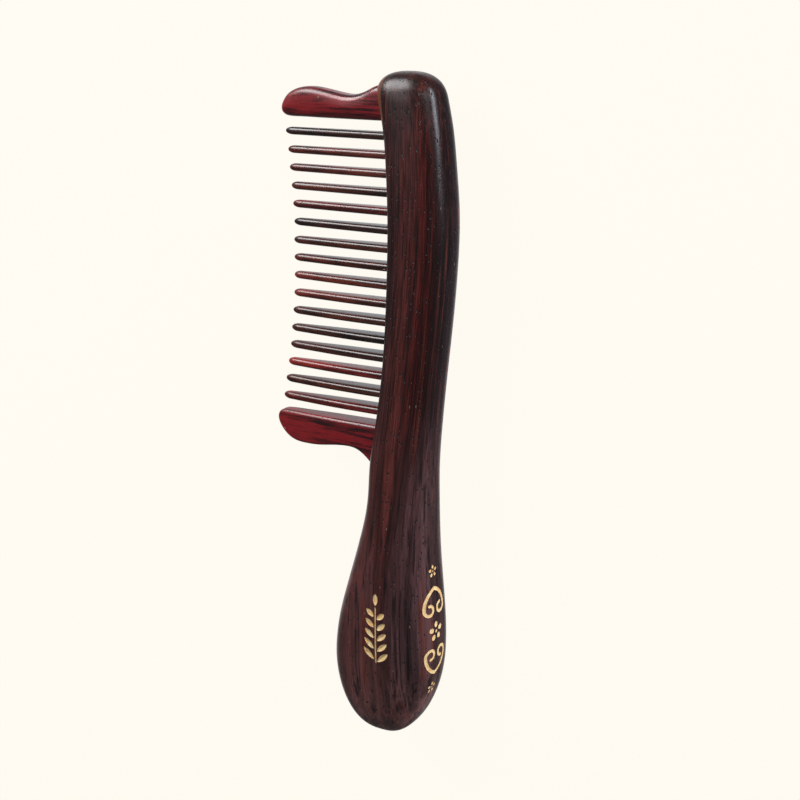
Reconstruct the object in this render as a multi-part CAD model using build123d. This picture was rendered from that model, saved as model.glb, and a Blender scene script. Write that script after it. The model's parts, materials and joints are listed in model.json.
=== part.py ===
"""Wide tooth comb: a curved dark wood handle with a glued-in row of separate wooden teeth.

The comb lies on its back face. +X runs from the head to the butt of the handle, -Y towards
the tooth tips, and +Z up from the broad face. Shapes are drawn in design coordinates, with
x from the tip of the head, y across the comb, and z from its mid-plane. At the end one shift
moves them all to the row frame, whose origin is under the middle of the comb.

A groove runs along the tooth side of the handle. Two guard plates and sixteen teeth stand in
it on tenons, and a spacer block between each pair sets the gap. The gold ornaments are thin
fills in shallow engraving.
"""

from build123d import *

import math
import os

from scipy.interpolate import CubicSpline

os.makedirs("parts", exist_ok=True)

# ---- Driving dimensions, in millimetres ----
LENGTH = 179.1
HEAD_CAP = 7.0  # length of the rounding at the head
HEAD_CAP_POWER = 2.5
BUTT_CAP = 27.3  # length of the rounding at the butt
BUTT_CAP_POWER = 2.2

# The handle's section along x: centre line, half width across Y and half thickness along Z.
CENTRE = [
    (0, 16.6), (7, 17.9), (13, 19.2), (22, 20.1), (34, 20.6), (48, 20.0), (62, 18.7), (76, 16.9),
    (90, 14.7), (100, 13.2), (110, 12.4), (122, 10.8), (134, 9.1), (146, 7.6), (156, 6.7), (180, 4.6),
]
HALF_WIDTH = [
    (0, 8.9), (7, 8.3), (13, 7.95), (34, 7.9), (62, 7.5), (76, 7.4), (90, 7.9), (100, 8.5),
    (110, 9.0), (122, 10.6), (134, 12.8), (146, 14.7), (156, 15.15), (180, 15.15),
]
HALF_THICKNESS = [
    (0, 5.8), (13, 6.7), (34, 7.2), (100, 7.5), (110, 7.8), (122, 8.4), (134, 9.2), (150, 9.95),
    (164, 10.0), (180, 10.0),
]
# Superellipse exponents: the tooth side is nearly flat beside the teeth and round at the grip.
SPINE_EXPONENT = [(0, 2.6), (50, 2.6), (96, 2.6), (118, 2.65), (140, 2.8), (180, 2.8)]
TOOTH_SIDE_EXPONENT = [(0, 2.6), (8, 3.6), (14, 4.5), (92, 4.5), (110, 3.2), (126, 2.7), (180, 2.6)]
SECTION_POINTS = 40
BODY_STATION_STEP = 9.0
CAP_SHARES = [0.003, 0.03, 0.1, 0.22, 0.4, 0.62, 0.82]

# The tooth row.
TOOTH_COUNT = 16
ROW_START = 12.0  # inner edge of the head guard
ROW_END = 90.0  # inner edge of the heel guard
FIRST_TOOTH = 3.75  # from the head guard's edge to the middle of the first tooth
TOOTH_PITCH = 4.7
ROW_BOW = 0.45  # how far the middle of the row stands towards the head
HEAD_TOOTH_WIDTH, HEEL_TOOTH_WIDTH = 2.1, 2.35
TENON_WIDTH = 2.4
TIP_ARC_RADIUS = 205.0
TIP_ARC_X = 38.0
TIP_ARC_Y = -19.0
GROOVE_WIDTH = 6.4
ROOT_THICKNESS = 6.2
HEAD_TOOTH_THICKNESS, HEEL_TOOTH_THICKNESS = 3.7, 5.4  # at the roots
PLATE_THINNING = 2.4  # loss of thickness over PLATE_THINNING_SPAN from the lip
PLATE_THINNING_SPAN = 30.0
TIP_THICKNESS = 2.0
TIP_LENGTH = 2.3  # length of a tooth's bullet-shaped tip
TIP_SHARES = [0.01, 0.08, 0.22, 0.42, 0.68, 1.0]
SHANK_SHARES = [0.07, 0.2, 0.4, 0.65, 1.0]
TOOTH_EXPONENT = 2.5

# The groove and what stands in it.
GROOVE_START = 3.0
GROOVE_END = 102.0
GROOVE_DEPTH = 7.0
GLUE_SPACE = 0.3  # under each tenon
TENON_SETBACK = 0.4  # from the lip to the square part of a tenon
LAP = 0.8  # how far a blade runs into its tenon
SADDLE_RADIUS = 2.2
SADDLE_DEPTH = 0.5
GUARD_TIP_LENGTH = 2.5
GUARD_EXPONENT = 4.5

# Guard outlines from the tip up: (y, x of the straight inner edge, x of the curved outer edge).
HEAD_GUARD_OUTLINE = [
    (-20.9, 10.3, 9.6), (-20.7, 11.2, 8.8), (-20.1, 11.7, 7.7), (-19.0, 11.9, 6.3), (-17.3, 11.95, 5.4),
    (-14.5, 11.95, 4.6), (-11.0, 11.95, 4.4), (-7.0, 11.95, 5.0), (-3.0, 11.95, 5.75), (0.5, 11.95, 6.0),
    (3.6, 11.95, 5.4), (6.2, 11.95, 4.4), (8.8, 11.95, 3.4), (10.6, 11.95, 3.2), (12.4, 11.95, 3.2),
]
HEEL_GUARD_OUTLINE = [
    (-26.7, 92.9, 93.8), (-26.5, 91.6, 94.9), (-25.8, 90.6, 95.6), (-24.6, 90.1, 96.6), (-22.6, 90.05, 97.8),
    (-19.6, 90.05, 98.5), (-16.0, 90.05, 98.6), (-12.0, 90.05, 98.3), (-8.0, 90.05, 97.6),
    (-4.5, 90.05, 97.15), (-1.5, 90.05, 97.2), (1.0, 90.05, 98.1), (3.2, 90.05, 99.8), (5.0, 90.05, 101.3),
    (6.6, 90.05, 101.8), (8.2, 90.05, 101.9),
]

# Ornaments.
ENGRAVING_DEPTH = 0.35
ENGRAVING_REACH = 14.0  # from outside the handle to below its skin
ORNAMENT_X = 145.0
ORNAMENT_LIFT = 1.55
FLOWER_SPACING = 17.0
SCROLL_APEX = 12.6
STROKE = 0.88  # width of a volute's line
SCROLL_STEP = 0.3  # shrinking of a volute per quarter turn
SCROLL_EYE = (2.25, -5.9)
SPRIG_X = 146.0
SPRIG_Y = 8.3
SPRIG_LENGTH = 19.0

# The row frame's origin, in design coordinates.
ORIGIN = (89.55, 0.9, -10.0)


def curve(points):
    """A smooth function through (x, value) points."""
    return CubicSpline(*zip(*points))


centre = curve(CENTRE)
half_width = curve(HALF_WIDTH)
half_thickness = curve(HALF_THICKNESS)
spine_exponent = curve(SPINE_EXPONENT)
tooth_side_exponent = curve(TOOTH_SIDE_EXPONENT)


def cap_share(x):
    """How much of the full section is left at x, where the ends round off."""
    if x < HEAD_CAP:
        return (1 - (1 - x / HEAD_CAP) ** HEAD_CAP_POWER) ** (1 / HEAD_CAP_POWER)
    if x > LENGTH - BUTT_CAP:
        beyond = (x - (LENGTH - BUTT_CAP)) / BUTT_CAP
        return (1 - beyond**BUTT_CAP_POWER) ** (1 / BUTT_CAP_POWER)
    return 1.0


def lip(x):
    """Y of the handle's tooth-side edge at x."""
    return float(centre(x) - half_width(x) * cap_share(x))


def oval(a, b, exponent, place, other_exponent=None):
    """A closed superellipse of half axes a and b, from its -v end. Its -u half may differ."""
    points = []
    for i in range(SECTION_POINTS):
        angle = 2 * math.pi * i / SECTION_POINTS - math.pi / 2
        u, v = math.cos(angle), math.sin(angle)
        power = exponent if u > 0 or other_exponent is None else other_exponent
        radius = (abs(u / a) ** power + abs(v / b) ** power) ** (-1 / power)
        points.append(Vector(*place(radius * u, radius * v)))
    knots = [i / SECTION_POINTS for i in range(SECTION_POINTS + 1)]
    return Wire([Edge.make_spline(points, periodic=True, parameters=knots)])


def section(x, inset=0.0):
    """The handle's outline across X."""
    a = float(half_width(x)) * cap_share(x) - inset
    b = float(half_thickness(x)) * cap_share(x) - inset
    y = float(centre(x))
    spine, tooth_side = float(spine_exponent(x)), float(tooth_side_exponent(x))
    return oval(a, b, spine, lambda u, v: (x, y + u, v), tooth_side)


def handle_blank():
    head = [HEAD_CAP * share for share in CAP_SHARES]
    butt = [LENGTH - BUTT_CAP * share for share in reversed(CAP_SHARES)]
    steps = round((butt[0] - HEAD_CAP) / BODY_STATION_STEP)
    body = [HEAD_CAP + (butt[0] - HEAD_CAP) * i / steps for i in range(steps)]
    return Solid.make_loft([section(x) for x in head + body + butt])


def engraving_floor():
    """The handle less the depth of the engraving, over the length that carries ornament."""
    stations = [118.0 + 5.0 * i for i in range(11)]
    return Solid.make_loft([section(x, ENGRAVING_DEPTH) for x in stations])


def prism(outline, half_height):
    """An outline in the mid-plane, thickened equally up and down."""
    face = Pos(0, 0, -half_height) * make_face(outline.edges())
    return extrude(face, amount=2 * half_height, dir=(0, 0, 1))


def groove():
    """The slot that holds the tenons. Its floor follows the lip."""
    steps = 33
    xs = [GROOVE_START + (GROOVE_END - GROOVE_START) * i / steps for i in range(steps + 1)]
    floor = [(x, lip(max(x, HEAD_CAP)) + GROOVE_DEPTH) for x in xs]
    mouth_y = -8.0
    outline = Spline(*floor) + Polyline(floor[-1], (GROOVE_END, mouth_y), (GROOVE_START, mouth_y), floor[0])
    return prism(outline, GROOVE_WIDTH / 2)


def plate_half_thickness(y, x):
    """Half a guard's thickness at (x, y): full at the lip, thinner towards the tip."""
    reach = max(0.0, lip(x) - y) / PLATE_THINNING_SPAN
    return ROOT_THICKNESS / 2 - PLATE_THINNING / 2 * reach**2


def tip_y(x):
    """Y of the arc that every tooth and both guards end on."""
    return TIP_ARC_Y - TIP_ARC_RADIUS + math.sqrt(TIP_ARC_RADIUS**2 - (x - TIP_ARC_X) ** 2)


def tooth_half_thickness(y, x):
    """Half a tooth's thickness at (x, y): full at the lip, slender at the tip, stouter towards the heel."""
    share = (x - ROW_START) / (ROW_END - ROW_START)
    root = HEAD_TOOTH_THICKNESS + (HEEL_TOOTH_THICKNESS - HEAD_TOOTH_THICKNESS) * min(1.0, 1.5 * share)
    reach = max(0.0, lip(x) - y) / (lip(x) - tip_y(x))
    return (root - (root - TIP_THICKNESS) * reach ** (1 + 1.2 * share)) / 2


def tooth_half_width(x):
    """Half a tooth's width: the teeth grow a little broader from the head to the heel."""
    share = (x - ROW_START) / (ROW_END - ROW_START)
    return (HEAD_TOOTH_WIDTH + (HEEL_TOOTH_WIDTH - HEAD_TOOTH_WIDTH) * share) / 2


def tooth_places():
    places = []
    for i in range(TOOTH_COUNT):
        bow = ROW_BOW * math.sin(math.pi * (i + 0.5) / TOOTH_COUNT)
        places.append(ROW_START + FIRST_TOOTH + TOOTH_PITCH * i - bow)
    return places


def plate_ring(x, y, half_wide, half_thick, exponent):
    """An outline across Y for a tooth or a guard."""
    return oval(half_wide, half_thick, exponent, lambda u, v: (x + u, y, v))


def tenon(x_low, x_high):
    """The square end that stands in the groove."""
    lowest = min(lip(x_low), lip(x_high))
    bottom, top = lowest + GROOVE_DEPTH - GLUE_SPACE, lowest + TENON_SETBACK
    return Pos((x_low + x_high) / 2, (top + bottom) / 2, 0) * Box(x_high - x_low, bottom - top, GROOVE_WIDTH)


def tooth(x):
    """One tooth: a blade with rounded edges and a bullet tip, on a square tenon."""
    tip, root = tip_y(x), lip(x) + TENON_SETBACK + LAP
    rings = []
    for share in TIP_SHARES:
        y = tip + TIP_LENGTH * share
        bullet = math.sqrt(1 - (1 - share) ** 2)
        rings.append((y, bullet))
    full = tip + TIP_LENGTH
    rings += [(full + (root - full) * share, 1.0) for share in SHANK_SHARES]
    loops = []
    for y, bullet in rings:
        half_thick = tooth_half_thickness(y, x) * bullet
        loops.append(plate_ring(x, y, tooth_half_width(x) * bullet, half_thick, TOOTH_EXPONENT))
    return Solid.make_loft(loops, ruled=True) + tenon(x - TENON_WIDTH / 2, x + TENON_WIDTH / 2)


def spacer(x, width):
    """The block between two tenons, with a shallow saddle where hair meets it."""
    top = lip(x)
    bottom = min(lip(x - width / 2), lip(x + width / 2)) + GROOVE_DEPTH - GLUE_SPACE
    block = Pos(x, (top + bottom) / 2, 0) * Box(width, bottom - top, GROOVE_WIDTH)
    return block - Pos(x, top + SADDLE_DEPTH - SADDLE_RADIUS, 0) * Cylinder(SADDLE_RADIUS, 2 * GROOVE_WIDTH)


def guard(outline, inner_x, outer_x):
    """A guard plate, lofted from the tip up, with its tenon in the groove."""
    tip = outline[0][0]
    loops = []
    for y, x_in, x_out in outline:
        rise = min(1.0, (y - tip) / GUARD_TIP_LENGTH)
        share = 0.25 + 0.75 * math.sqrt(1 - (1 - rise) ** 2)
        half_thick = plate_half_thickness(y, inner_x) * share
        loops.append(plate_ring((x_in + x_out) / 2, y, abs(x_in - x_out) / 2, half_thick, GUARD_EXPONENT))
    return Solid.make_loft(loops, ruled=True) + tenon(min(inner_x, outer_x), max(inner_x, outer_x))


def flower(scale):
    """Five petals round a dot, one petal upwards."""
    petals = Circle(0.5 * scale)
    for i in range(5):
        petals += Rot(0, 0, 72 * i) * Pos(0, 2.1 * scale) * Ellipse(0.78 * scale, 0.92 * scale)
    return petals


def scroll():
    """A pair of volutes whose arms meet in a point, upwards at the local origin."""
    (x, y), step = SCROLL_EYE, SCROLL_STEP
    outer, inner = 4 * step + STROKE, 4 * step

    def on(radius, angle):
        return (x + radius * math.cos(angle), y + radius * math.sin(angle))

    low = y + 2 * step
    top = low + STROKE
    below = math.radians(-45)
    half = ThreePointArc((0, 0.2), (3.18, -2.14), on(outer, 0))
    half += ThreePointArc(on(outer, 0), on(outer, below), (x, y - outer))
    half += ThreePointArc((x, y - outer), (x - 3 * step - STROKE, y - step), (x, top))
    half += ThreePointArc((x, top), (x + STROKE / 2, (top + low) / 2), (x, low))
    half += ThreePointArc((x, low), (x - 3 * step, y - step), (x, y - inner))
    half += ThreePointArc((x, y - inner), on(inner, below), on(inner, 0))
    half += ThreePointArc(on(inner, 0), (2.5, -2.86), (0, -0.9))
    return make_face((half + mirror(half, Plane.YZ)).edges())


def leaf(length, width):
    """A pointed leaf from the local origin along +X."""
    bow = width / 2
    edges = ThreePointArc((0, 0), (length / 2, bow), (length, 0)) + ThreePointArc(
        (length, 0), (length / 2, -bow), (0, 0)
    )
    return make_face(edges.edges())


def sprig():
    """A stem with pairs of leaves, along local Y."""
    stem = Rectangle(0.45, SPRIG_LENGTH * 0.86)
    shapes = [stem, Pos(0, SPRIG_LENGTH * 0.44) * Rot(0, 0, 90) * leaf(3.4, 1.5)]
    for i in range(5):
        y = SPRIG_LENGTH * (0.16 * i - 0.4)
        size = 4.4 - 0.35 * i
        for side in (-1, 1):
            place = Pos(0.5 * side, y + 0.6 * (side > 0)) * Rot(0, 0, 90 - 48 * side)
            shapes.append(place * leaf(size, 1.5))
    return shapes


def on_spine(shape, x):
    """Stands a flat shape off the spine at x, with its top towards the head."""
    return Plane(origin=(x, 26, ORNAMENT_LIFT), x_dir=(0, 0, 1), z_dir=(0, -1, 0)) * shape


def on_face(shape):
    """Stands a flat shape off the broad face, with its top towards the head."""
    return Plane(origin=(SPRIG_X, SPRIG_Y, 14), x_dir=(0, -1, 0), z_dir=(0, 0, -1)) * shape


def inlay(outlines, inward, blank, floor):
    """Gold fill: the skin of the handle under the given outlines."""
    pieces = []
    for outline in outlines:
        skin = (extrude(outline, amount=ENGRAVING_REACH, dir=inward) & blank) - floor
        pieces += skin.solids()
    return pieces


def save(name, solids):
    """Writes one node, moved to the row frame."""
    shift = Pos(*[-v for v in ORIGIN])
    moved = [shift * s for s in solids]
    export_step(moved[0] if len(moved) == 1 else Compound(children=moved), f"parts/{name}.step")


def main():
    blank = handle_blank()
    floor = engraving_floor()
    places = tooth_places()

    from_spine, from_face = (0, -1, 0), (0, 0, -1)
    petals = {
        "flower_inlay_1": on_spine(flower(0.57), ORNAMENT_X - FLOWER_SPACING),
        "flower_inlay_2": on_spine(flower(0.92), ORNAMENT_X),
        "flower_inlay_3": on_spine(flower(0.57), ORNAMENT_X + FLOWER_SPACING),
    }
    inlays = {n: inlay(s.faces(), from_spine, blank, floor) for n, s in petals.items()}
    inlays["scroll_inlay_1"] = inlay([on_spine(scroll(), ORNAMENT_X - SCROLL_APEX)], from_spine, blank, floor)
    inlays["scroll_inlay_2"] = inlay(
        [on_spine(Rot(0, 0, 180) * scroll(), ORNAMENT_X + SCROLL_APEX)], from_spine, blank, floor
    )
    inlays["sprig_inlay"] = inlay([on_face(s) for s in sprig()], from_face, blank, floor)

    handle = blank - groove()
    for solids in inlays.values():
        for s in solids:
            handle = handle - s
    save("handle", handle.solids())
    for name, solids in inlays.items():
        save(name, solids)

    save("head_guard", guard(HEAD_GUARD_OUTLINE, ROW_START, GROOVE_START).solids())
    save("heel_guard", guard(HEEL_GUARD_OUTLINE, ROW_END, GROOVE_END).solids())
    for i, x in enumerate(places, 1):
        save(f"tooth_{i:02d}", tooth(x).solids())
    starts = [ROW_START] + [x + TENON_WIDTH / 2 for x in places]
    ends = [x - TENON_WIDTH / 2 for x in places] + [ROW_END]
    for i, (start, end) in enumerate(zip(starts, ends), 1):
        save(f"spacer_{i:02d}", spacer((start + end) / 2, end - start).solids())


main()
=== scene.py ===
"""Looks for the wide tooth comb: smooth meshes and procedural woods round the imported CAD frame.

Lengths in the tables are millimetres in design coordinates: x from the tip of the head, y across
the comb with the teeth towards -y, z from the comb's mid-plane. to_row() turns them into metres in
the row frame, which lies on z = 0 under the comb.
"""

import json
import math
import random

import bmesh
import bpy
import numpy as np
from mathutils import Matrix, Vector

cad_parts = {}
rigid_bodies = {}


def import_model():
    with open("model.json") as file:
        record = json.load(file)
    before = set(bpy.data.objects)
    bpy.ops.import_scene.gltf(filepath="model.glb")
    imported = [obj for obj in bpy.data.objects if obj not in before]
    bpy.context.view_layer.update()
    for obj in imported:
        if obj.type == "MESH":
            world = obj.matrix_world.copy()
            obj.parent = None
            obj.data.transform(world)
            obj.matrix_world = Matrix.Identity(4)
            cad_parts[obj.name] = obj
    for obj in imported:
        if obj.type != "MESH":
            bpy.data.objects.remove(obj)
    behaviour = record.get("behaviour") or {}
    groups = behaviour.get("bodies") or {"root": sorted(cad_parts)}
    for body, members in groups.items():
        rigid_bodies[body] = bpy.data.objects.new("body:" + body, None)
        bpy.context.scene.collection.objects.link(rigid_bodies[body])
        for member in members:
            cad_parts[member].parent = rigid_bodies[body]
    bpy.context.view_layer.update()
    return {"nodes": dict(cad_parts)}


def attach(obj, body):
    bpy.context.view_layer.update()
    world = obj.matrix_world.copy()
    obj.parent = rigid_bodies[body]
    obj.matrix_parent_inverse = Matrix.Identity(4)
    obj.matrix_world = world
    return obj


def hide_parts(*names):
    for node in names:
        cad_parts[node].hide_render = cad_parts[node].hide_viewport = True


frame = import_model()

MM = 0.001
ORIGIN = np.array([89.55, 0.9, -10.0])

# ---- The handle's section along x, as in the CAD ----
LENGTH = 179.1
HEAD_CAP, HEAD_CAP_POWER = 7.0, 2.5
BUTT_CAP, BUTT_CAP_POWER = 27.3, 2.2
CENTRE = [
    (0, 16.6), (7, 17.9), (13, 19.2), (22, 20.1), (34, 20.6), (48, 20.0), (62, 18.7), (76, 16.9),
    (90, 14.7), (100, 13.2), (110, 12.4), (122, 10.8), (134, 9.1), (146, 7.6), (156, 6.7), (180, 4.6),
]
HALF_WIDTH = [
    (0, 8.9), (7, 8.3), (13, 7.95), (34, 7.9), (62, 7.5), (76, 7.4), (90, 7.9), (100, 8.5),
    (110, 9.0), (122, 10.6), (134, 12.8), (146, 14.7), (156, 15.15), (180, 15.15),
]
HALF_THICKNESS = [
    (0, 5.8), (13, 6.7), (34, 7.2), (100, 7.5), (110, 7.8), (122, 8.4), (134, 9.2), (150, 9.95),
    (164, 10.0), (180, 10.0),
]
SPINE_EXPONENT = [(0, 2.6), (50, 2.6), (96, 2.6), (118, 2.65), (140, 2.8), (180, 2.8)]
TOOTH_SIDE_EXPONENT = [(0, 2.6), (8, 3.6), (14, 4.5), (92, 4.5), (110, 3.2), (126, 2.7), (180, 2.6)]

# ---- The tooth row ----
TOOTH_COUNT = 16
ROW_START, ROW_END = 12.0, 90.0
FIRST_TOOTH, TOOTH_PITCH, ROW_BOW = 3.75, 4.7, 0.45
HEAD_TOOTH_HALF_WIDTH, HEEL_TOOTH_HALF_WIDTH = 1.05, 1.175
HEAD_TOOTH_HALF_THICKNESS, HEEL_TOOTH_HALF_THICKNESS = 1.85, 2.7
ROOT_HALF_THICKNESS, TIP_HALF_THICKNESS = 3.1, 1.0
PLATE_THINNING, PLATE_THINNING_SPAN = 1.2, 30.0
TIP_ARC_RADIUS, TIP_ARC_X, TIP_ARC_Y = 205.0, 38.0, -19.0
GROOVE_START, GROOVE_END = 3.0, 102.0
GROOVE_DEPTH, GROOVE_HALF_WIDTH = 7.0, 3.2
ROOT_REACH = 3.0  # how far the pieces in the groove run up into it

# Guard outlines, from the root of the straight inner edge round the nose to the root of the outer
# edge. The heel guard's nose is half a millimetre shorter than the CAD's.
HEAD_GUARD = [
    (11.95, 14.0), (11.95, 8.0), (11.95, 2.0), (11.95, -4.0), (11.95, -10.0), (11.95, -15.0),
    (11.93, -18.3), (11.6, -19.8), (10.9, -20.6), (9.9, -20.88), (8.7, -20.6), (7.5, -19.85),
    (6.4, -18.8), (5.4, -17.1), (4.75, -15.2), (4.42, -13.0), (4.42, -10.5), (4.75, -8.0),
    (5.3, -5.0), (5.8, -2.2), (6.0, 0.5), (5.65, 2.9), (4.8, 5.4), (3.9, 7.3), (3.3, 9.2),
    (3.15, 11.5), (3.15, 14.0),
]
HEEL_GUARD = [
    (90.05, 10.0), (90.05, 5.0), (90.05, -1.0), (90.05, -7.0), (90.05, -13.0), (90.05, -19.0),
    (90.07, -23.1), (90.4, -24.9), (91.3, -25.9), (92.6, -26.2), (94.0, -25.85), (95.5, -24.9),
    (96.9, -23.5), (97.9, -21.8), (98.45, -19.8), (98.6, -17.2), (98.52, -14.5), (98.2, -11.5),
    (97.7, -8.5), (97.3, -5.6), (97.15, -3.0), (97.4, -0.8), (98.3, 1.2), (99.7, 3.0),
    (100.9, 4.5), (101.5, 6.4), (101.8, 8.2), (101.85, 10.0),
]

# ---- Ornaments ----
ENGRAVING_DEPTH = 0.35
ORNAMENT_X, ORNAMENT_LIFT = 145.0, 1.55
FLOWER_SPACING = 17.0
SCROLL_APEX = 12.6
STROKE = 0.88
SCROLL_STEP = 0.3
SCROLL_EYE = (2.25, -5.9)
SPRIG_X, SPRIG_Y, SPRIG_LENGTH = 146.0, 8.3, 19.0

# ---- The camera: degrees, and millimetres in the row frame. Its focal length is assumed. ----
CAMERA_AZIMUTH, CAMERA_ELEVATION, CAMERA_ROLL = 120.6, 54.4, -117.1
CAMERA_AIM = (-6.6, 10.9, 10.0)
CAMERA_DISTANCE = 385.0
CAMERA_LENS, CAMERA_SENSOR = 67.5, 36.0


# =========================== small tools ===========================

def spline(points):
    """A smooth function through (x, value) points: a not-a-knot cubic."""
    xs, ys = np.array(points, float).T
    n, h = len(xs), np.diff(xs)
    rows, rhs = np.zeros((n, n)), np.zeros(n)
    for i in range(1, n - 1):
        rows[i, i - 1:i + 2] = h[i - 1], 2 * (h[i - 1] + h[i]), h[i]
        rhs[i] = 6 * ((ys[i + 1] - ys[i]) / h[i] - (ys[i] - ys[i - 1]) / h[i - 1])
    rows[0, :3] = h[1], -(h[0] + h[1]), h[0]
    rows[-1, -3:] = h[-1], -(h[-2] + h[-1]), h[-2]
    bend = np.linalg.solve(rows, rhs)

    def at(x):
        x = np.asarray(x, float)
        i = np.clip(np.searchsorted(xs, x) - 1, 0, n - 2)
        left, right = x - xs[i], xs[i + 1] - x
        curved = bend[i] * right**3 + bend[i + 1] * left**3
        from_left = (ys[i] / h[i] - bend[i] * h[i] / 6) * right
        from_right = (ys[i + 1] / h[i] - bend[i + 1] * h[i] / 6) * left
        return curved / (6 * h[i]) + (from_left + from_right)

    return at


def path_through(points, count):
    """Evenly spaced points along a smooth open path through the given 2-D points."""
    points = np.array(points, float)
    run = np.concatenate([[0], np.cumsum(np.linalg.norm(np.diff(points, axis=0), axis=1))])
    fx, fy = spline(list(zip(run, points[:, 0]))), spline(list(zip(run, points[:, 1])))
    s = np.linspace(0, run[-1], count)
    return np.stack([fx(s), fy(s)], axis=1)


def to_row(points):
    return (np.asarray(points, float) - ORIGIN) * MM


def new_mesh_object(name, points, faces, sharp_angle=None, slots=None):
    """A shaded-smooth object from design points. Coincident points are merged."""
    mesh = bpy.data.meshes.new(name)
    mesh.from_pydata([tuple(p) for p in to_row(points)], [], faces)
    if slots:
        mesh.polygons.foreach_set("material_index", slots)
    bm = bmesh.new()
    bm.from_mesh(mesh)
    bmesh.ops.remove_doubles(bm, verts=bm.verts, dist=2e-6)
    bmesh.ops.dissolve_degenerate(bm, edges=bm.edges, dist=1e-6)
    bmesh.ops.recalc_face_normals(bm, faces=bm.faces)
    bm.to_mesh(mesh)
    bm.free()
    obj = bpy.data.objects.new(name, mesh)
    bpy.context.scene.collection.objects.link(obj)
    smooth(mesh, sharp_angle)
    return obj


def smooth(mesh, sharp_angle=None):
    mesh.polygons.foreach_set("use_smooth", [True] * len(mesh.polygons))
    if sharp_angle is not None:
        mesh.set_sharp_from_angle(angle=sharp_angle)
    mesh.update()


def skin(loops):
    """Points and faces of a closed skin over loops of equal length, capped at both ends."""
    count, around = len(loops), len(loops[0])
    points = np.concatenate(loops)
    faces = []
    for i in range(count - 1):
        for j in range(around):
            k = (j + 1) % around
            faces.append((i * around + j, i * around + k, (i + 1) * around + k, (i + 1) * around + j))
    faces.append(tuple(range(around))[::-1])
    faces.append(tuple((count - 1) * around + j for j in range(around)))
    return points, faces


# =========================== the handle's surface ===========================

centre = spline(CENTRE)
half_width = spline(HALF_WIDTH)
half_thickness = spline(HALF_THICKNESS)
spine_exponent = spline(SPINE_EXPONENT)
tooth_side_exponent = spline(TOOTH_SIDE_EXPONENT)


def cap_share(x):
    """How much of the full section is left at x, where the ends round off."""
    if x < HEAD_CAP:
        return max(0.0, 1 - (1 - x / HEAD_CAP) ** HEAD_CAP_POWER) ** (1 / HEAD_CAP_POWER)
    if x > LENGTH - BUTT_CAP:
        beyond = min(1.0, (x - (LENGTH - BUTT_CAP)) / BUTT_CAP)
        return (1 - beyond**BUTT_CAP_POWER) ** (1 / BUTT_CAP_POWER)
    return 1.0


def lip(x):
    """Y of the handle's tooth-side edge."""
    return float(centre(x) - half_width(x) * cap_share(x))


def section(x, around):
    """The handle's outline across X. Points gather where the outline turns."""
    share = max(cap_share(x), 1e-4)
    a, b = float(half_width(x)) * share, float(half_thickness(x)) * share
    angle = np.linspace(-math.pi / 2, 1.5 * math.pi, 721)
    u, v = np.cos(angle), np.sin(angle)
    power = np.where(u > 0, float(spine_exponent(x)), float(tooth_side_exponent(x)))
    radius = (np.abs(u / a) ** power + np.abs(v / b) ** power) ** (-1 / power)
    outline = np.stack([radius * u, radius * v], axis=1)
    step = np.diff(outline, axis=0)
    length = np.linalg.norm(step, axis=1)
    heading = np.unwrap(np.arctan2(step[:, 1], step[:, 0]))
    turn = np.abs(np.diff(heading, append=heading[-1]))
    measure = np.concatenate([[0], np.cumsum(0.5 * length / length.sum() + 0.5 * turn / turn.sum())])
    at = np.linspace(0, measure[-1], around + 1)[:-1]
    y = np.interp(at, measure, outline[:, 0])
    z = np.interp(at, measure, outline[:, 1])
    return np.stack([np.full(around, x), float(centre(x)) + y, z], axis=1)


def spine_point(x, z, depth):
    """The point of the spine surface over (x, z), sunk by depth."""
    def height(px, pz):
        a, b = float(half_width(px)) * cap_share(px), float(half_thickness(px)) * cap_share(px)
        power = float(spine_exponent(px))
        return float(centre(px)) + a * max(1e-9, 1 - abs(pz / b) ** power) ** (1 / power)

    slope_x = (height(x + 0.05, z) - height(x - 0.05, z)) / 0.1
    slope_z = (height(x, z + 0.05) - height(x, z - 0.05)) / 0.1
    normal = np.array([-slope_x, 1.0, -slope_z])
    return np.array([x, height(x, z), z]) - depth * normal / np.linalg.norm(normal)


def face_point(x, y, depth):
    """The point of the broad face over (x, y), sunk by depth."""
    def height(px, py):
        a, b = float(half_width(px)) * cap_share(px), float(half_thickness(px)) * cap_share(px)
        off = py - float(centre(px))
        power = float(spine_exponent(px) if off > 0 else tooth_side_exponent(px))
        return b * max(1e-9, 1 - abs(off / a) ** power) ** (1 / power)

    slope_x = (height(x + 0.05, y) - height(x - 0.05, y)) / 0.1
    slope_y = (height(x, y + 0.05) - height(x, y - 0.05)) / 0.1
    normal = np.array([-slope_x, -slope_y, 1.0])
    return np.array([x, y, height(x, y)]) - depth * normal / np.linalg.norm(normal)


def handle_loops(around=132):
    head = HEAD_CAP * np.linspace(0, 1, 24) ** HEAD_CAP_POWER
    butt = LENGTH - BUTT_CAP * np.linspace(1, 0, 84) ** BUTT_CAP_POWER
    body = np.linspace(HEAD_CAP, LENGTH - BUTT_CAP, 205)[1:-1]
    return [section(x, around) for x in np.concatenate([head, body, butt])]


# =========================== ornament outlines ===========================

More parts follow.
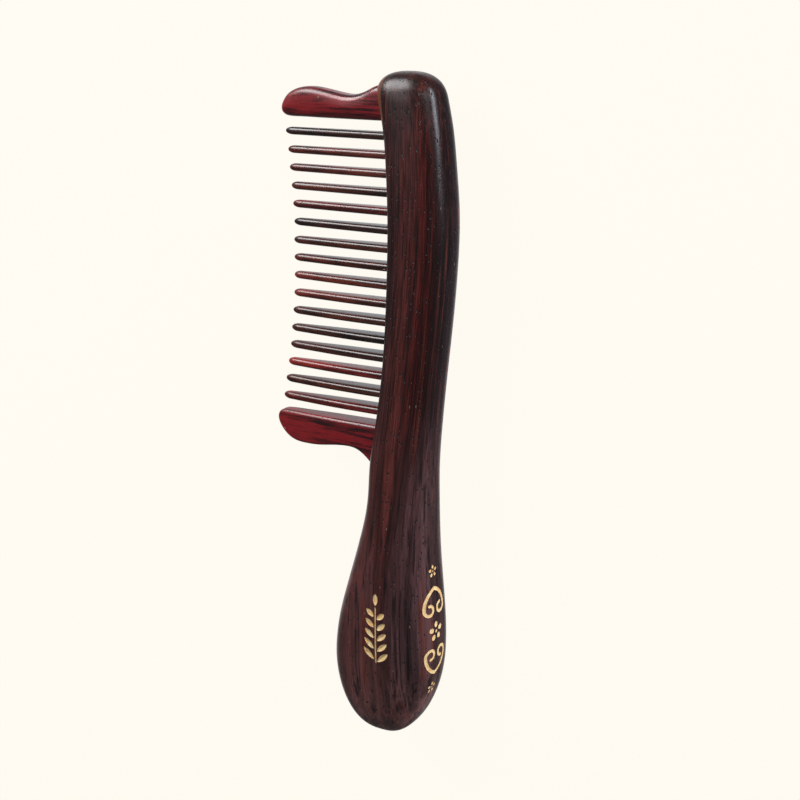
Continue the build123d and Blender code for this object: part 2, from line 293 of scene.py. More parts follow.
def arc_points(start, middle, end, count):
    """Points along the circle arc through three points, without its last point."""
    (ax, ay), (bx, by), (cx, cy) = start, middle, end
    d = 2 * (ax * (by - cy) + bx * (cy - ay) + cx * (ay - by))
    if abs(d) < 1e-9:
        return [(ax + (cx - ax) * i / count, ay + (cy - ay) * i / count) for i in range(count)]
    sa, sb, sc = ax * ax + ay * ay, bx * bx + by * by, cx * cx + cy * cy
    ox = (sa * (by - cy) + sb * (cy - ay) + sc * (ay - by)) / d
    oy = (sa * (cx - bx) + sb * (ax - cx) + sc * (bx - ax)) / d
    first, last = math.atan2(ay - oy, ax - ox), math.atan2(cy - oy, cx - ox)
    way = math.atan2(by - oy, bx - ox)
    sweep = (last - first) % (2 * math.pi)
    if (way - first) % (2 * math.pi) > sweep:
        sweep -= 2 * math.pi
    radius = math.hypot(ax - ox, ay - oy)
    angles = [first + sweep * i / count for i in range(count)]
    return [(ox + radius * math.cos(t), oy + radius * math.sin(t)) for t in angles]


def scroll_arcs():
    """The right half of the scroll as (start, middle, end) arcs, from its point round to its axis."""
    (x, y), step = SCROLL_EYE, SCROLL_STEP
    outer, inner = 4 * step + STROKE, 4 * step

    def on(radius, angle):
        return (x + radius * math.cos(angle), y + radius * math.sin(angle))

    top, low = y + 2 * step + STROKE, y + 2 * step
    below = math.radians(-45)
    return [
        ((0, 0.2), (3.18, -2.14), on(outer, 0)),
        (on(outer, 0), on(outer, below), (x, y - outer)),
        ((x, y - outer), (x - 3 * step - STROKE, y - step), (x, top)),
        ((x, top), (x + STROKE / 2, top - STROKE / 2), (x, low)),
        ((x, low), (x - 3 * step, y - step), (x, y - inner)),
        ((x, y - inner), on(inner, below), on(inner, 0)),
        (on(inner, 0), (2.5, -2.86), (0, -0.9)),
    ]


def scroll():
    half = []
    for start, middle, end in scroll_arcs():
        half += arc_points(start, middle, end, 16)
    half.append(scroll_arcs()[-1][2])
    return [half + [(-px, py) for px, py in reversed(half[1:-1])]]


def ellipse(cx, cy, rx, ry, turn, count=22):
    cos, sin = math.cos(turn), math.sin(turn)
    points = []
    for i in range(count):
        angle = 2 * math.pi * i / count
        px, py = rx * math.cos(angle), ry * math.sin(angle)
        points.append((cx + px * cos - py * sin, cy + px * sin + py * cos))
    return points


def flower(scale):
    shapes = [ellipse(0, 0, 0.5 * scale, 0.5 * scale, 0, 16)]
    for i in range(5):
        turn = math.radians(72 * i)
        away = 2.1 * scale
        x, y = -away * math.sin(turn), away * math.cos(turn)
        shapes.append(ellipse(x, y, 0.78 * scale, 0.92 * scale, turn))
    return shapes


def leaf(x, y, turn, length, width):
    points = arc_points((0, 0), (length / 2, -width / 2), (length, 0), 12)
    points += arc_points((length, 0), (length / 2, width / 2), (0, 0), 12)
    cos, sin = math.cos(turn), math.sin(turn)
    return [(x + px * cos - py * sin, y + px * sin + py * cos) for px, py in points]


def sprig():
    half = SPRIG_LENGTH * 0.43
    stem = arc_points((-0.225, -half), (-0.225, 0), (-0.225, half), 30)
    stem += arc_points((0.225, half), (0.225, 0), (0.225, -half), 30)
    shapes = [stem, leaf(0, SPRIG_LENGTH * 0.44, math.pi / 2, 3.4, 1.5)]
    for i in range(5):
        y = SPRIG_LENGTH * (0.16 * i - 0.4)
        for side in (-1, 1):
            turn = math.radians(90 - 48 * side)
            shapes.append(leaf(0.5 * side, y + 0.6 * (side > 0), turn, 4.4 - 0.35 * i, 1.5))
    return shapes


def on_spine(shapes, x, flip=1):
    """Outlines as (x, z) on the spine, their tops towards the head."""
    return [[(x - flip * py, ORNAMENT_LIFT + flip * px) for px, py in shape] for shape in shapes]


def on_face(shapes):
    """Outlines as (x, y) on the broad face, their tops towards the head."""
    return [[(SPRIG_X - py, SPRIG_Y - px) for px, py in shape] for shape in shapes]


ORNAMENTS = {
    "flower_inlay_1": (spine_point, on_spine(flower(0.57), ORNAMENT_X - FLOWER_SPACING)),
    "flower_inlay_2": (spine_point, on_spine(flower(0.92), ORNAMENT_X)),
    "flower_inlay_3": (spine_point, on_spine(flower(0.57), ORNAMENT_X + FLOWER_SPACING)),
    "scroll_inlay_1": (spine_point, on_spine(scroll(), ORNAMENT_X - SCROLL_APEX)),
    "scroll_inlay_2": (spine_point, on_spine(scroll(), ORNAMENT_X + SCROLL_APEX, -1)),
    "sprig_inlay": (face_point, on_face(sprig())),
}


def resample(outline, spacing):
    """The closed outline with points at most `spacing` apart, keeping its own points."""
    dense = []
    for (ax, ay), (bx, by) in zip(outline, outline[1:] + outline[:1]):
        parts = max(1, math.ceil(math.hypot(bx - ax, by - ay) / spacing))
        dense += [(ax + (bx - ax) * i / parts, ay + (by - ay) * i / parts) for i in range(parts)]
    return dense


def inset(outline, distance):
    """The outline moved inwards by a small distance."""
    pts = np.array(outline)
    ahead, behind = np.roll(pts, -1, axis=0), np.roll(pts, 1, axis=0)
    tangent = ahead - behind
    tangent /= np.maximum(np.linalg.norm(tangent, axis=1, keepdims=True), 1e-9)
    area = 0.5 * np.sum(pts[:, 0] * ahead[:, 1] - ahead[:, 0] * pts[:, 1])
    inward = np.stack([-tangent[:, 1], tangent[:, 0]], axis=1) * (1 if area > 0 else -1)
    return [tuple(p) for p in pts + inward * distance]


def slab(surface, outline, levels):
    """Loops of a slab under the surface: (inset, depth) for each level, first to last."""
    loops = []
    for distance, depth in levels:
        ring = inset(outline, distance) if distance else outline
        loops.append(np.array([surface(px, py, depth) for px, py in ring]))
    return loops


def join_skins(skins):
    """One set of points and faces from several skins."""
    points, faces, start = [], [], 0
    for pts, fcs in skins:
        points.append(pts)
        faces += [tuple(i + start for i in f) for f in fcs]
        start += len(pts)
    return np.concatenate(points), faces


def triangulate_caps(obj):
    """Splits the many-sided end faces neatly, so that they follow the curved surface."""
    bm = bmesh.new()
    bm.from_mesh(obj.data)
    big = [f for f in bm.faces if len(f.verts) > 4]
    bmesh.ops.triangulate(bm, faces=big, quad_method="BEAUTY", ngon_method="BEAUTY")
    bm.to_mesh(obj.data)
    bm.free()


# =========================== pieces ===========================

def groove_cutter():
    xs = np.linspace(GROOVE_START, GROOVE_END, 60)
    line = [(x, lip(max(x, HEAD_CAP)) + GROOVE_DEPTH) for x in xs]
    outline = line + [(GROOVE_END, -8.0), (GROOVE_START, -8.0)]
    loops = [np.array([(x, y, z) for x, y in outline]) for z in (-GROOVE_HALF_WIDTH, GROOVE_HALF_WIDTH)]
    return skin(loops)


def build_handle():
    handle = new_mesh_object("handle_body", *skin(handle_loops()))
    cutters = [groove_cutter()]
    for surface, shapes in ORNAMENTS.values():
        for shape in shapes:
            levels = [(0, -0.8), (0, ENGRAVING_DEPTH)]
            cutters.append(skin(slab(surface, resample(shape, 0.3), levels)))
    cutter = new_mesh_object("cutter", *join_skins(cutters))
    triangulate_caps(cutter)
    cut = handle.modifiers.new("cut", "BOOLEAN")
    cut.operation, cut.solver, cut.object = "DIFFERENCE", "EXACT", cutter
    graph = bpy.context.evaluated_depsgraph_get()
    carved = bpy.data.meshes.new_from_object(handle.evaluated_get(graph))
    handle.modifiers.clear()
    handle.data = carved
    bpy.data.objects.remove(cutter)
    smooth(carved, math.radians(35))
    return handle


def build_inlay(name, surface, shapes):
    """Gold lying a little below the wood, slightly dished, its outer band darker: painted shade at the
    groove's edge.
    """
    skins, painted_rim = [], []
    for shape in shapes:
        levels = [(0, ENGRAVING_DEPTH), (0, 0.05), (0.07, 0.08), (0.15, 0.12)]
        points, faces = skin(slab(surface, resample(shape, 0.25), levels))
        skins.append((points, faces))
        painted_rim += [int(i < len(faces) - 1) for i in range(len(faces))]
    obj = new_mesh_object(name.replace("inlay", "fill"), *join_skins(skins), slots=painted_rim)
    triangulate_caps(obj)
    smooth(obj.data, math.radians(50))
    return obj


def tip_y(x):
    return TIP_ARC_Y - TIP_ARC_RADIUS + math.sqrt(TIP_ARC_RADIUS**2 - (x - TIP_ARC_X) ** 2)


def plate_half_thickness(y, x):
    reach = max(0.0, lip(x) - y) / PLATE_THINNING_SPAN
    return ROOT_HALF_THICKNESS - PLATE_THINNING * reach**2


def tooth_places():
    bows = [ROW_BOW * math.sin(math.pi * (i + 0.5) / TOOTH_COUNT) for i in range(TOOTH_COUNT)]
    return [ROW_START + FIRST_TOOTH + TOOTH_PITCH * i - bow for i, bow in enumerate(bows)]


def tooth_half_thickness(y, x):
    share = (x - ROW_START) / (ROW_END - ROW_START)
    root = HEAD_TOOTH_HALF_THICKNESS
    root += (HEEL_TOOTH_HALF_THICKNESS - HEAD_TOOTH_HALF_THICKNESS) * min(1.0, 1.5 * share)
    reach = min(1.0, max(0.0, (lip(x) - y) / (lip(x) - tip_y(x))))
    return root - (root - TIP_HALF_THICKNESS) * reach ** (1 + 1.2 * share)


def blade_ring(a, b, count=60):
    """A closed outline with softly rounded flanks: rounder the nearer its width is to its thickness."""
    power = min(3.4, max(2.0, 2.0 + 1.3 * (b / a - 1)))
    ring = []
    for i in range(count):
        t = 2 * math.pi * (i + 0.5) / count
        c, s = math.cos(t), math.sin(t)
        across = math.copysign(a * abs(c) ** (2 / power), c)
        through = math.copysign(b * abs(s) ** (2 / power), s)
        ring.append((across, through))
    return ring


def build_tooth(number, x, rng):
    """A hand-finished tooth: its width, tip and lie differ a little from its neighbours'."""
    tip = tip_y(x) + rng.uniform(0.0, 0.25)
    root = lip(x) + ROOT_REACH
    share = (x - ROW_START) / (ROW_END - ROW_START)
    wide = HEAD_TOOTH_HALF_WIDTH + (HEEL_TOOTH_HALF_WIDTH - HEAD_TOOTH_HALF_WIDTH) * share
    wide *= rng.uniform(0.97, 1.0)
    bullet_length = rng.uniform(2.1, 2.5)
    lean = rng.uniform(-0.08, 0.08)
    loops = []
    heights = [tip + bullet_length * (1 - math.cos(t)) for t in np.linspace(0, math.pi / 2, 22)]
    heights += list(np.linspace(heights[-1], root, 30))[1:]
    for y in heights:
        t = min(1.0, (y - tip) / bullet_length)
        bullet = max(0.0, 1 - (1 - t) ** 2.2) ** 0.5
        taper = 1 - 0.06 * max(0.0, (root - y) / (root - tip)) ** 2
        a = max(wide * taper * bullet, 1e-3)
        b = max(tooth_half_thickness(y, x) * bullet, 1e-3)
        shift = lean * (root - y) / (root - tip)
        loops.append(np.array([(x + shift + u, y, v) for u, v in blade_ring(a, b)]))
    return new_mesh_object(f"tooth_blade_{number:02d}", *skin(loops), sharp_angle=math.radians(50))


def build_guard(name, outline, inner_x, edge_radius):
    """A plate with rounded edges. Each row of points runs round it from the inner to the outer edge."""
    path = path_through(outline, 241)
    tangent = np.gradient(path, axis=0)
    tangent /= np.linalg.norm(tangent, axis=1, keepdims=True)
    outward = np.stack([-tangent[:, 1], tangent[:, 0]], axis=1)
    inside = np.array([np.mean(path[:, 0]), -5.0])
    if np.dot(outward[20], path[20] - inside) < 0:
        outward = -outward
    tip = int(np.argmin(path[:, 1]))
    rows = max(tip, len(path) - 1 - tip)
    along = np.linspace(0, 1, rows + 1)
    near = tip * along
    far = (len(path) - 1) - (len(path) - 1 - tip) * along

    def at(values, index):
        return np.stack([np.interp(index, np.arange(len(values)), values[:, k]) for k in (0, 1)], axis=1)

    a_points, a_out = at(path, near), at(outward, near)
    b_points, b_out = at(path, far), at(outward, far)
    loops = []
    for a, na, b, nb in zip(a_points, a_out, b_points, b_out):
        span = np.linalg.norm(b - a)
        r = edge_radius
        half = []
        for i in range(9):
            t = math.pi / 2 * i / 8
            half.append((a - na * r * (1 - math.cos(t)), math.sin(t)))
        a_in, b_in = half[-1][0], b - nb * r
        for s in np.linspace(0, 1, 9)[1:-1]:
            half.append((a_in + (b_in - a_in) * s, 1.0 + 0.05 * math.sin(math.pi * s) * min(1, span / 4)))
        for i in reversed(range(9)):
            t = math.pi / 2 * i / 8
            half.append((b - nb * r * (1 - math.cos(t)), math.sin(t)))
        upper = []
        for (px, py), rise in half:
            t = plate_half_thickness(py, inner_x)
            upper.append((px, py, t - r + r * rise))
        loops.append(np.array(upper + [(px, py, -pz) for px, py, pz in reversed(upper)]))
    return new_mesh_object(name, *skin(loops), sharp_angle=math.radians(60))


# =========================== materials ===========================

class Shader:
    """A node material written as nested calls. Positions are in millimetres of the row frame."""

    def __init__(self, name):
        self.material = bpy.data.materials.new(name)
        self.material.use_nodes = True
        self.tree = self.material.node_tree
        self.bsdf = self.tree.nodes["Principled BSDF"]
        metres = self.add("ShaderNodeTexCoord").outputs["Object"]
        self.position = self.add("ShaderNodeMapping", {"Vector": metres, "Scale": (1 / MM,) * 3}).outputs[0]

    def add(self, kind, values=None, **settings):
        node = self.tree.nodes.new(kind)
        for key, value in settings.items():
            setattr(node, key, value)
        for key, value in (values or {}).items():
            self.put(node.inputs[key], value)
        return node

    def put(self, socket, value):
        if isinstance(value, bpy.types.NodeSocket):
            self.tree.links.new(value, socket)
        else:
            socket.default_value = value

    def scaled(self, scale, offset=(0, 0, 0)):
        """The position in cells, given in cells per millimetre along each axis."""
        values = {"Vector": self.position, "Scale": scale, "Location": offset}
        return self.add("ShaderNodeMapping", values).outputs[0]

    def axis(self, name):
        return self.add("ShaderNodeSeparateXYZ", {0: self.position}).outputs[name]

    def span(self, value, low, high, start=0.0, end=1.0, smooth=False):
        """The value carried from low..high to start..end, held at both ends."""
        kind = "SMOOTHSTEP" if smooth else "LINEAR"
        values = {0: value, 1: low, 2: high, 3: start, 4: end}
        return self.add("ShaderNodeMapRange", values, interpolation_type=kind).outputs[0]

    def noise(self, vector, detail=3.0, rough=0.55, distortion=0.0):
        values = {"Vector": vector, "Scale": 1.0, "Detail": detail, "Roughness": rough}
        return self.add("ShaderNodeTexNoise", {**values, "Distortion": distortion}).outputs["Fac"]

    def math(self, operation, a, b=0.0, clamp=False):
        return self.add("ShaderNodeMath", {0: a, 1: b}, operation=operation, use_clamp=clamp).outputs[0]

    def ramp(self, factor, stops):
        """A colour or grey ramp. Each stop is (place, value), a value a number or an RGB triple."""
        node = self.add("ShaderNodeValToRGB", {"Fac": factor})
        elements = node.color_ramp.elements
        while len(elements) < len(stops):
            elements.new(0.5)
        for element, (place, value) in zip(elements, stops):
            element.position = place
            rgb = (value,) * 3 if isinstance(value, (int, float)) else value
            element.color = (*rgb, 1)
        return node.outputs["Color"]

    def mix(self, factor, a, b, blend="MIX"):
        node = self.add("ShaderNodeMix", data_type="RGBA", blend_type=blend)
        for key, value in ((0, factor), (6, a), (7, b)):
            if isinstance(value, tuple) and len(value) == 3:
                value = (*value, 1)
            self.put(node.inputs[key], value)
        return node.outputs[2]

    def bump(self, height, strength, distance):
        values = {"Height": height, "Strength": strength, "Distance": distance}
        return self.add("ShaderNodeBump", values).outputs[0]

    def pores(self, scale, seed, reach=0.2, share=0.7):
        """Open vessels of the wood: how deep in a pore a place is, and which pores hold dust."""
        vector = self.scaled(scale, offset=(seed, seed * 0.7, seed * 1.3))
        cell = self.add("ShaderNodeTexVoronoi", {"Vector": vector, "Scale": 1.0, "Randomness": 1.0})
        chance = self.add("ShaderNodeSeparateColor", {0: cell.outputs["Color"]}).outputs
        near = self.span(cell.outputs["Distance"], reach * 0.6, reach, 1.0, 0.0)
        open_pore = self.math("LESS_THAN", chance[0], share)
        dusty = self.math("GREATER_THAN", chance[1], 0.975)
        pore = self.math("MULTIPLY", near, open_pore)
        return pore, self.math("MULTIPLY", pore, dusty)

    def finish(self, **sockets):
        for name, value in sockets.items():
            label = name.replace("_", " ")
            if isinstance(value, tuple) and len(value) == 3:
                value = (*value, 1)
            self.put(self.bsdf.inputs[label], value)
        return self.material


def row_x(*places):
    """Places along the comb, from design coordinates to the row frame."""
    return tuple(x - ORIGIN[0] for x in places)


# Where the handle's colour changes, in millimetres of the row frame: partly the wood's own changes, partly
# painted light and shade. Each is the x where a change starts and the x where it ends. Those with four
# values add the y, or the y off the bend, there.
HANDLE_BEND = (*row_x(22.0, 140.0), 20.6 - ORIGIN[1], 9.5 - ORIGIN[1])  # the grain's own bend
LIP_LINE = (*row_x(5.0, 13.0), -8.75, -7.9)  # the lip beside the head guard, with a painted reflection of the guard and a painted shadow
RIM_END = row_x(11.0, 13.5)
HEAD_END = row_x(5.0, 18.0)  # the wood darker towards the head end
BULB_SPAN = row_x(75.0, 112.0)
BUTT_END = row_x(150.0, 176.0)
LIP_SHADE_LINE = (*row_x(13.0, 55.0), -8.0, -5.2)  # painted shade along the lip over the teeth
LIP_SHADE_END = row_x(84.0, 96.0)


def handle_wood(name, lift=1.0):
    """Oiled black rosewood with its grain following the bend of the comb, and with painted haze and sheen on
    the bulb, a painted reflection and shadow by the head guard and painted shade along the lip.
    """
    s = Shader(name)
    bend = s.span(s.axis("X"), *HANDLE_BEND, smooth=True)
    straight = s.math("SUBTRACT", s.axis("Y"), bend)
    s.position = s.add("ShaderNodeCombineXYZ", {0: s.axis("X"), 1: straight, 2: s.axis("Z")}).outputs[0]
    sway = s.noise(s.scaled((0.011, 0.16, 0.10), offset=(3.1, 0.4, 7.7)), detail=2.5)
    across = s.math("ADD", straight, s.math("MULTIPLY", s.math("SUBTRACT", sway, 0.5), 7.0))
    colour = s.ramp(s.span(across, -16.0, 16.0), [
        (0.10, (0.080 * lift, 0.0195 * lift, 0.0175 * lift)),
        (0.26, (0.065 * lift, 0.0170 * lift, 0.0150 * lift)),
        (0.38, (0.054 * lift, 0.0160 * lift, 0.0155 * lift)),
        (0.52, (0.080 * lift, 0.0175 * lift, 0.0155 * lift)),
        (0.61, (0.058 * lift, 0.0070 * lift, 0.0060 * lift)),
        (0.69, (0.019 * lift, 0.0034 * lift, 0.0036 * lift)),
        (0.78, (0.013 * lift, 0.0065 * lift, 0.0090 * lift)),
        (0.95, (0.046 * lift, 0.0175 * lift, 0.0190 * lift)),
    ])
    colour = s.mix(s.span(s.axis("X"), *HEAD_END, 0.6, 0.0), colour, (0.010, 0.0050, 0.0060))
    # Paler and greyer towards the bulb: painted haze, the sheen that lies on the bulb.
    painted_bulb_haze = s.math("MULTIPLY", s.span(s.axis("X"), 15.0, 60.0, smooth=True), 0.32)
    colour = s.mix(painted_bulb_haze, colour, (0.082 * lift, 0.040 * lift, 0.041 * lift))
    far = s.span(s.axis("X"), *BULB_SPAN, smooth=True)
    # Paler on the spine side of the bulb: more painted haze.
    painted_spine_haze = s.math("MULTIPLY", s.math("MULTIPLY", far, 0.6), s.span(across, 1.2, 3.4))
    colour = s.mix(painted_spine_haze, colour, (0.096 * lift, 0.043 * lift, 0.045 * lift))
    # Paler towards the butt, where the surface turns away: painted sheen.
    butt = s.span(s.axis("X"), *BUTT_END, 0.0, 0.7)
    colour = s.mix(butt, colour, (0.175 * lift, 0.074 * lift, 0.070 * lift))
    bands = s.scaled((0.012, 0.75, 0.75), offset=(0.6, 2.2, 5.0))
    bands = s.noise(bands, detail=3.0, rough=0.6, distortion=0.2)
    colour = s.mix(s.ramp(bands, [(0.54, 0.0), (0.64, 0.85)]), colour, (0.0085, 0.0045, 0.0055))
    colour = s.mix(s.ramp(bands, [(0.34, 0.75), (0.44, 0.0)]), colour, (0.085, 0.017, 0.011))
    fibre = s.noise(s.scaled((0.10, 2.7, 2.7), offset=(9.0, 1.0, 2.0)), detail=4.0, rough=0.65)
    streaks = s.ramp(fibre, [(0.34, 0.34), (0.48, 0.86), (0.66, 1.8)])
    colour = s.mix(s.span(far, 0.0, 1.0, 1.0, 0.40), colour, streaks, "MULTIPLY")
    broad = s.scaled((0.014, 0.24, 0.24), offset=(2.0, 5.5, 1.0))
    broad = s.noise(broad, detail=2.0, rough=0.5, distortion=0.6)
    broad = s.ramp(broad, [(0.38, 0.42), (0.48, 0.80), (0.62, 1.75)])
    colour = s.mix(s.span(far, 0.0, 1.0, 0.25, 0.75), colour, broad, "MULTIPLY")
    veins = s.noise(s.scaled((0.05, 2.1, 2.1), offset=(1.0, 6.0, 3.0)), detail=2.0, rough=0.5)
    vein = s.math("MULTIPLY", s.ramp(veins, [(0.60, 0.0), (0.66, 0.8)]), s.span(far, 0.0, 1.0, 1.0, 0.35))
    colour = s.mix(vein, colour, (0.006, 0.0035, 0.0040))
    pore, dust = s.pores((0.48, 1.30, 1.30), 4.0, 0.25, 0.55)
    colour = s.mix(s.math("MULTIPLY", pore, 0.9), colour, (0.0025, 0.0018, 0.0020))
    colour = s.mix(s.math("MULTIPLY", dust, 0.5), colour, (0.30, 0.20, 0.16))
    # By the head guard the lip gets an orange strip at its edge, a painted reflection of the red guard, and
    # a dark band just inside it, a painted shadow.
    past_lip = s.math("SUBTRACT", straight, s.span(s.axis("X"), *LIP_LINE))
    near_head = s.span(s.axis("X"), *RIM_END, 1.0, 0.0)
    shade = s.math("MULTIPLY", s.span(past_lip, 0.3, 1.4, 0.85, 0.0), near_head)
    painted_rim = s.math("MULTIPLY", s.span(past_lip, -0.1, 0.2, 0.9, 0.0), near_head)
    colour = s.mix(painted_rim, s.mix(shade, colour, (0.010, 0.004, 0.004)), (0.150, 0.048, 0.026))
    # A dark band along the lip over the teeth: painted shade where the lip rounds away from the light.
    past_edge = s.math("SUBTRACT", straight, s.span(s.axis("X"), *LIP_SHADE_LINE))
    edge = s.span(past_edge, 0.2, 1.7, 0.75, 0.0)
    edge = s.math("MULTIPLY", edge, s.span(s.axis("X"), *LIP_SHADE_END, 1.0, 0.0))
    edge = s.math("MULTIPLY", edge, s.span(s.axis("X"), *RIM_END))
    colour = s.mix(edge, colour, (0.008, 0.005, 0.006))
    gloss = s.noise(s.scaled((0.03, 0.5, 0.5)), detail=3.0)
    rough = s.math("ADD", s.span(gloss, 0.3, 0.7, 0.27, 0.35), s.math("MULTIPLY", pore, 0.3), clamp=True)
    height = s.math("SUBTRACT", s.math("MULTIPLY", fibre, 0.12), pore)
    return s.finish(Base_Color=colour, Roughness=rough, Normal=s.bump(height, 0.8, 0.14 * MM), IOR=1.46)


def polished_wood(name, base, dark, seed, amount=0.5, root=(0.65, 0.9, 1.0), polish=(0.17, 0.24)):
    """Red sandalwood, oiled and rubbed smooth, with its grain along the teeth."""
    s = Shader(name)
    wide = s.scaled((0.35, 0.020, 0.35), offset=(seed, 1.7 * seed, 0.3 * seed))
    wide = s.noise(wide, detail=3.0, distortion=0.3)
    lines = s.noise(s.scaled((1.7, 0.09, 1.7), offset=(2.0 * seed, seed, seed)), detail=4.0, rough=0.62)
    fibre = s.noise(s.scaled((6.0, 0.30, 6.0), offset=(seed, seed, 3 * seed)), detail=2.0)
    tone = s.math("ADD", s.math("MULTIPLY", wide, 0.5), s.math("MULTIPLY", lines, 0.55))
    colour = s.mix(s.ramp(tone, [(0.50 - 0.12 * amount, 1.0), (0.60 - 0.06 * amount, 0.0)]), base, dark)
    colour = s.mix(1.0, colour, s.ramp(fibre, [(0.3, 0.72), (0.7, 1.22)]), "MULTIPLY")
    # Redder towards the tips and tinted by root towards the handle: darker there on the teeth; paler on the
    # guards, which paints a sheen.
    colour = s.mix(1.0, colour, s.mix(s.span(s.axis("Y"), -24.0, 12.0), (1.2, 0.85, 0.80), root), "MULTIPLY")
    pore, dust = s.pores((1.6, 0.45, 1.6), seed)
    colour = s.mix(s.math("MULTIPLY", pore, 0.85), colour, (0.008, 0.002, 0.0025))
    colour = s.mix(s.math("MULTIPLY", dust, 0.8), colour, (0.62, 0.46, 0.36))
    worn = s.math("ADD", s.math("MULTIPLY", pore, 0.3), s.span(s.axis("Y"), -24.0, 0.0, 0.12, 0.0))
    rough = s.math("ADD", s.span(lines, 0.3, 0.7, *polish), worn, clamp=True)
    height = s.math("SUBTRACT", s.math("MULTIPLY", fibre, 0.10), pore)
    return s.finish(Base_Color=colour, Roughness=rough, Normal=s.bump(height, 0.2, 0.05 * MM), IOR=1.58)


def gold_fill(name, *tones):
    s = Shader(name)
    mottle = s.noise(s.scaled((0.9, 0.9, 0.9)), detail=4.0, rough=0.6)
    grit = s.noise(s.scaled((5.0, 5.0, 5.0), offset=(4.0, 0.0, 1.0)), detail=3.0, rough=0.7)
    colour = s.ramp(mottle, [(0.32, tones[0]), (0.50, tones[1]), (0.68, tones[2])])
    colour = s.mix(1.0, colour, s.ramp(grit, [(0.3, 0.85), (0.7, 1.1)]), "MULTIPLY")
    rough = s.span(grit, 0.2, 0.8, 0.35, 0.55)
    return s.finish(Base_Color=colour, Metallic=0.12, Roughness=rough, Normal=s.bump(grit, 0.5, 0.08 * MM))


# =========================== assemble ===========================

def place(obj, slot, material, *nodes, painted_rim=None):
    obj.data.materials.clear()
    obj.data.materials.append(material)
    if painted_rim:
        obj.data.materials.append(painted_rim)
    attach(obj, "root")
    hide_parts(*nodes)


def build_comb():
    place(build_handle(), "handle_wood", handle_wood("handle_wood_look"), "handle")
    # The guards' root tint makes them paler and pinker towards the handle: a painted sheen.
    red = polished_wood(
        "guard_wood_look", (0.205, 0.0095, 0.0140), (0.020, 0.004, 0.006), seed=3.0,
        amount=0.45, root=(1.12, 1.2, 1.2), polish=(0.24, 0.32),
    )
    place(build_guard("head_guard_plate", HEAD_GUARD, ROW_START, 1.9), "guard_wood", red, "head_guard")
    place(build_guard("heel_guard_plate", HEEL_GUARD, ROW_END, 0.9), "guard_wood", red, "heel_guard")

    woods = {
        "black": polished_wood("tooth_black_look", (0.060, 0.018, 0.012), (0.012, 0.006, 0.005), 11.0),
        "umber": polished_wood("tooth_umber_look", (0.105, 0.025, 0.014), (0.020, 0.007, 0.005), 17.0),
        "brown": polished_wood("tooth_brown_look", (0.170, 0.030, 0.019), (0.034, 0.009, 0.006), 23.0),
        "red": polished_wood("tooth_red_look", (0.24, 0.022, 0.017), (0.070, 0.010, 0.008), 31.0, 0.3),
    }
    slots = {"black": "tooth_dark", "umber": "tooth_dark", "brown": "tooth_brown", "red": "tooth_red"}
    kinds = [
        "black", "brown", "brown", "umber", "red", "black", "umber", "brown",
        "brown", "brown", "umber", "black", "black", "red", "umber", "red",
    ]
    rng = random.Random(7)
    for i, (x, kind) in enumerate(zip(tooth_places(), kinds), 1):
        place(build_tooth(i, x, rng), slots[kind], woods[kind], f"tooth_{i:02d}")

    gold = gold_fill("gold_fill_look", (0.95, 0.50, 0.18), (1.0, 0.69, 0.32), (1.0, 0.85, 0.52))
    # Darker gold for the outer band of each fill: painted shade at the groove's edge.
    painted_rim = gold_fill("gold_painted_shade_look", (0.60, 0.25, 0.06), (0.80, 0.38, 0.11), (0.92, 0.52, 0.20))
    for name, (surface, shapes) in ORNAMENTS.items():
        place(build_inlay(name, surface, shapes), "gold_fill", gold, name, painted_rim=painted_rim)

    spacer = handle_wood("spacer_wood_look", 0.8)
    for name, node in frame["nodes"].items():
        if name.startswith("spacer"):
            for part in [node, *node.children_recursive]:
                if part.type == "MESH":
                    part.data.materials.clear()
                    part.data.materials.append(spacer)


# =========================== stage ===========================

def build_floor():
    bm = bmesh.new()
    bmesh.ops.create_grid(bm, x_segments=8, y_segments=8, size=2.0)
    mesh = bpy.data.meshes.new("floor")
    bm.to_mesh(mesh)
    bm.free()
    floor = bpy.data.objects.new("floor", mesh)
    bpy.context.scene.collection.objects.link(floor)
    material = bpy.data.materials.new("floor_paper")
    material.use_nodes = True
    tree = material.node_tree
    tree.nodes.clear()
    out = tree.nodes.new("ShaderNodeOutputMaterial")
    glow = tree.nodes.new("ShaderNodeEmission")
    glow.inputs["Color"].default_value = (1.0, 0.965, 0.887, 1)
    glow.inputs["Strength"].default_value = 1.012
    matte = tree.nodes.new("ShaderNodeBsdfDiffuse")
    matte.inputs["Color"].default_value = (0.9, 0.87, 0.8, 1)
    mix = tree.nodes.new("ShaderNodeMixShader")
    mix.inputs[0].default_value = 0.03
    tree.links.new(glow.outputs[0], mix.inputs[1])
    tree.links.new(matte.outputs[0], mix.inputs[2])
    tree.links.new(mix.outputs[0], out.inputs[0])
    mesh.materials.append(material)
    floor.visible_glossy = False


def softbox(name, direction, distance, size, watts, tint=(1, 1, 1)):
    """An area light that faces the comb from a direction in the row frame."""
    light = bpy.data.lights.new(name, "AREA")
    light.shape = "RECTANGLE"
    light.size, light.size_y = size
    light.energy = watts
    light.color = tint
    obj = bpy.data.objects.new(name, light)
    way = Vector(direction).normalized()
    obj.matrix_world = Matrix.Translation(way * distance) @ way.to_track_quat("Z", "Y").to_matrix().to_4x4()
    bpy.context.scene.collection.objects.link(obj)


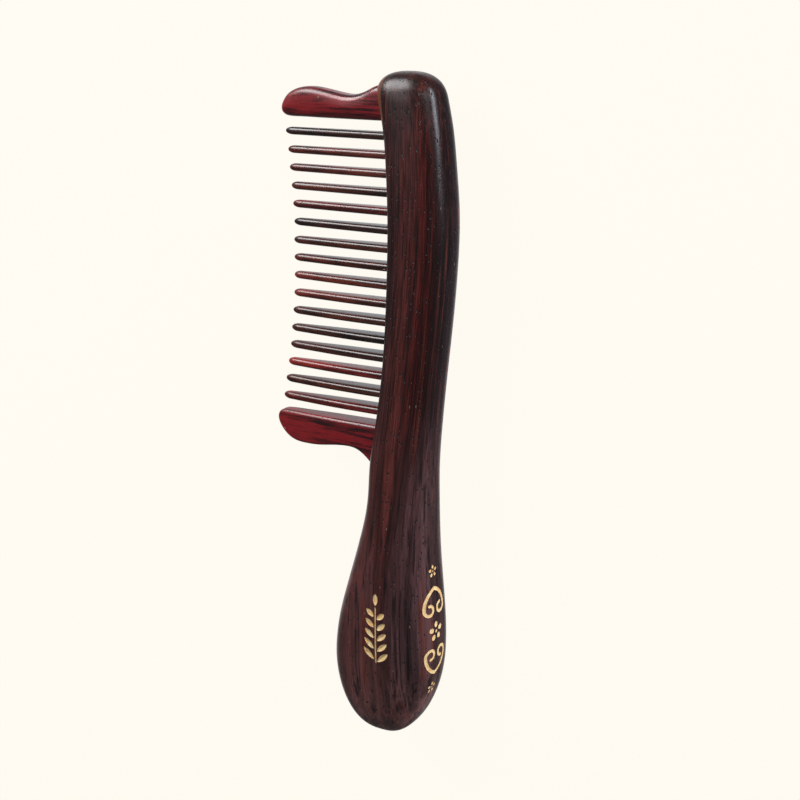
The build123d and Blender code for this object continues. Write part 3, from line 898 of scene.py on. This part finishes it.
def build_lights():
    """Softboxes round the comb, and a dim room with one pale patch low in front of the teeth."""
    world = bpy.data.worlds.new("studio")
    world.use_nodes = True
    tree = world.node_tree
    tree.nodes["Background"].inputs[0].default_value = (0.94, 0.97, 1.0, 1)
    along = tree.nodes.new("ShaderNodeVectorMath")
    along.operation = "DOT_PRODUCT"
    along.inputs[1].default_value = (0.0, -0.53, -0.85)
    level = tree.nodes.new("ShaderNodeMapRange")
    for key, value in {1: 0.62, 2: 0.93, 3: 0.11, 4: 1.0}.items():
        level.inputs[key].default_value = value
    tree.links.new(tree.nodes.new("ShaderNodeTexCoord").outputs["Generated"], along.inputs[0])
    tree.links.new(along.outputs["Value"], level.inputs[0])
    tree.links.new(level.outputs[0], tree.nodes["Background"].inputs[1])
    bpy.context.scene.world = world
    softbox("key", (-0.71, -0.54, 0.42), 0.85, (0.44, 0.50), 7.6)
    softbox("front", (-0.30, -0.46, 0.83), 0.80, (0.24, 0.24), 0.38)
    softbox("side", (-0.46, 0.88, 0.07), 0.80, (0.60, 0.15), 5.4, (0.86, 0.92, 1.0))
    softbox("back", (-0.60, 0.75, 0.75), 1.2, (0.6, 0.6), 2.0)


def build_camera():
    """A camera that looks at its aim from an azimuth and elevation, rolled about its line of sight."""
    camera = bpy.data.cameras.new("camera")
    camera.lens, camera.sensor_width = CAMERA_LENS, CAMERA_SENSOR
    camera.clip_start, camera.clip_end = 0.01, 10.0
    obj = bpy.data.objects.new("camera", camera)
    azimuth, elevation = math.radians(CAMERA_AZIMUTH), math.radians(CAMERA_ELEVATION)
    level = math.cos(elevation)
    back = Vector((level * math.cos(azimuth), level * math.sin(azimuth), math.sin(elevation)))
    level_right = Vector((0, 0, 1)).cross(back).normalized()
    level_up = back.cross(level_right)
    roll = math.radians(CAMERA_ROLL)
    up = level_up * math.cos(roll) - level_right * math.sin(roll)
    turn = Matrix((up.cross(back), up, back)).transposed().to_4x4()
    place_at = (Vector(CAMERA_AIM) + back * CAMERA_DISTANCE) * MM
    obj.matrix_world = Matrix.Translation(place_at) @ turn
    bpy.context.scene.collection.objects.link(obj)
    bpy.context.scene.camera = obj


build_comb()
build_floor()
build_lights()
build_camera()
bpy.context.scene.view_settings.view_transform = "Standard"
